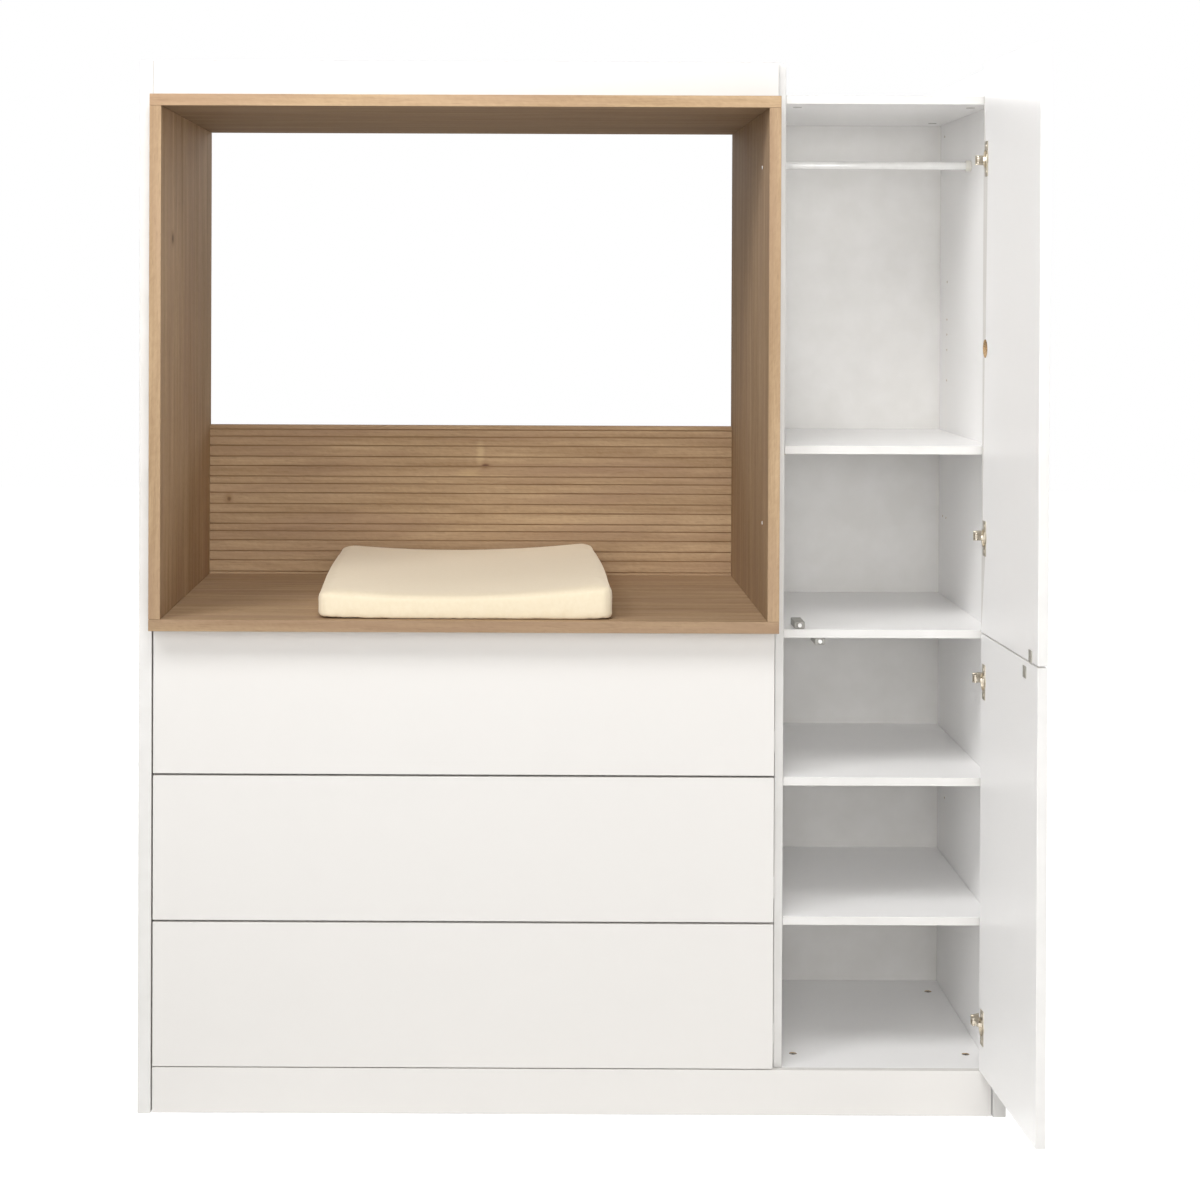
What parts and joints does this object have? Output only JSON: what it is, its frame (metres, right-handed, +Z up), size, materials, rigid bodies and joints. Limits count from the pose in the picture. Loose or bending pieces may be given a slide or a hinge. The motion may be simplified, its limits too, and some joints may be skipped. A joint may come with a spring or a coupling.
{
  "type": "changing dresser",
  "caption": "Tall white changing dresser: wide drawers under an oak-look changing niche with a soft pad, and a narrow wardrobe bay with doors on concealed cup hinges.",
  "frame": {"origin": "bottom centre of the whole box with both doors open as pictured, on the floor", "axes": "+X to the dresser's right as seen from the front, +Y to its back, +Z up; the front faces -Y"},
  "size_m": [1.65, 1.1034, 2],
  "materials": {
    "white_melamine_board": "satin white melamine face on chipboard",
    "inner_melamine_board": "satin white melamine on inner boards",
    "oak_laminate_board": "oak-look laminate with fine grain, low sheen",
    "white_rail_metal": "gloss white coated steel",
    "nickel_plated_steel": "bright nickel plate",
    "zinc_plated_steel": "dull zinc plate",
    "grey_latch_plastic": "matt light grey plastic",
    "cream_jersey_cover": "cream cotton jersey, matt"
  },
  "bodies": {
    "cabinet": {"left_side_panel": "white_melamine_board", "right_side_panel": "white_melamine_board", "mid_partition": "white_melamine_board", "top_panel": "white_melamine_board", "top_fascia": "white_melamine_board", "front_plinth": "white_melamine_board", "drawer_bay_bottom": "inner_melamine_board", "wardrobe_bottom": "inner_melamine_board", "wardrobe_top": "inner_melamine_board", "rear_plinth": "inner_melamine_board", "drawer_bay_back": "inner_melamine_board", "wardrobe_back": "inner_melamine_board", "shelf_1": "inner_melamine_board", "shelf_2": "inner_melamine_board", "shelf_3": "inner_melamine_board", "shelf_4": "inner_melamine_board", "niche_bottom_board": "oak_laminate_board", "niche_top_board": "oak_laminate_board", "niche_left_board": "oak_laminate_board", "niche_right_board": "oak_laminate_board", "niche_ribbed_panel": "oak_laminate_board", "clothes_rail": "white_rail_metal", "left_rail_socket": "white_rail_metal", "right_rail_socket": "white_rail_metal", "upper_hinge_1_arm": "nickel_plated_steel", "upper_hinge_2_arm": "nickel_plated_steel", "lower_hinge_1_arm": "nickel_plated_steel", "lower_hinge_2_arm": "nickel_plated_steel", "upper_latch_housing": "grey_latch_plastic", "lower_latch_housing": "grey_latch_plastic"},
    "top_drawer": {"drawer_1_front": "white_melamine_board", "drawer_1_left_side": "inner_melamine_board", "drawer_1_right_side": "inner_melamine_board", "drawer_1_back": "inner_melamine_board", "drawer_1_bottom": "inner_melamine_board"},
    "middle_drawer": {"drawer_2_front": "white_melamine_board", "drawer_2_left_side": "inner_melamine_board", "drawer_2_right_side": "inner_melamine_board", "drawer_2_back": "inner_melamine_board", "drawer_2_bottom": "inner_melamine_board"},
    "bottom_drawer": {"drawer_3_front": "white_melamine_board", "drawer_3_left_side": "inner_melamine_board", "drawer_3_right_side": "inner_melamine_board", "drawer_3_back": "inner_melamine_board", "drawer_3_bottom": "inner_melamine_board"},
    "upper_hinge_links": {"upper_hinge_1_link": "nickel_plated_steel", "upper_hinge_2_link": "nickel_plated_steel"},
    "upper_door_leaf": {"upper_door": "white_melamine_board", "upper_strike_plate": "zinc_plated_steel", "upper_hinge_1_cup": "nickel_plated_steel", "upper_hinge_2_cup": "nickel_plated_steel"},
    "upper_latch_pin": {"upper_latch_plunger": "grey_latch_plastic"},
    "lower_hinge_links": {"lower_hinge_1_link": "nickel_plated_steel", "lower_hinge_2_link": "nickel_plated_steel"},
    "lower_door_leaf": {"lower_door": "white_melamine_board", "lower_strike_plate": "zinc_plated_steel", "lower_hinge_1_cup": "nickel_plated_steel", "lower_hinge_2_cup": "nickel_plated_steel"},
    "lower_latch_pin": {"lower_latch_plunger": "grey_latch_plastic"},
    "loose_pad": {"changing_pad": "cream_jersey_cover"}
  },
  "joints": [
    {"name": "top_drawer_slide", "type": "slide", "parent": "cabinet", "child": "top_drawer", "axis": [0, -1, 0], "range_m": [0, 0.37]},
    {"name": "middle_drawer_slide", "type": "slide", "parent": "cabinet", "child": "middle_drawer", "axis": [0, -1, 0], "range_m": [0, 0.37]},
    {"name": "bottom_drawer_slide", "type": "slide", "parent": "cabinet", "child": "bottom_drawer", "axis": [0, -1, 0], "range_m": [0, 0.37]},
    {"name": "upper_links_swing", "type": "hinge", "parent": "cabinet", "child": "upper_hinge_links", "pos_m": [0.76514, -0.12969, 0], "axis": [0, 0, -1], "range_deg": [-64.2, 2.85]},
    {"name": "upper_door_swing", "type": "hinge", "parent": "upper_hinge_links", "child": "upper_door_leaf", "pos_m": [0.77719, -0.14903, 0], "axis": [0, 0, 1], "range_deg": [-156.14, 6.79]},
    {"name": "upper_latch_push", "type": "slide", "parent": "cabinet", "child": "upper_latch_pin", "axis": [0, -1, 0], "range_m": [-0.002, 0.016]},
    {"name": "lower_links_swing", "type": "hinge", "parent": "cabinet", "child": "lower_hinge_links", "pos_m": [0.76514, -0.12969, 0], "axis": [0, 0, -1], "range_deg": [-64.2, 2.85]},
    {"name": "lower_door_swing", "type": "hinge", "parent": "lower_hinge_links", "child": "lower_door_leaf", "pos_m": [0.77719, -0.14903, 0], "axis": [0, 0, 1], "range_deg": [-156.14, 6.79]},
    {"name": "lower_latch_push", "type": "slide", "parent": "cabinet", "child": "lower_latch_pin", "axis": [0, -1, 0], "range_m": [-0.002, 0.016]},
    {"name": "pad_lift", "type": "slide", "parent": "cabinet", "child": "loose_pad", "axis": [0, 0, 1], "range_m": [0, 0.3]}
  ],
  "couplings": [
    {"joint": "upper_links_swing", "follows": "upper_door_swing", "ratio": 0.4108},
    {"joint": "lower_links_swing", "follows": "lower_door_swing", "ratio": 0.4108}
  ]
}
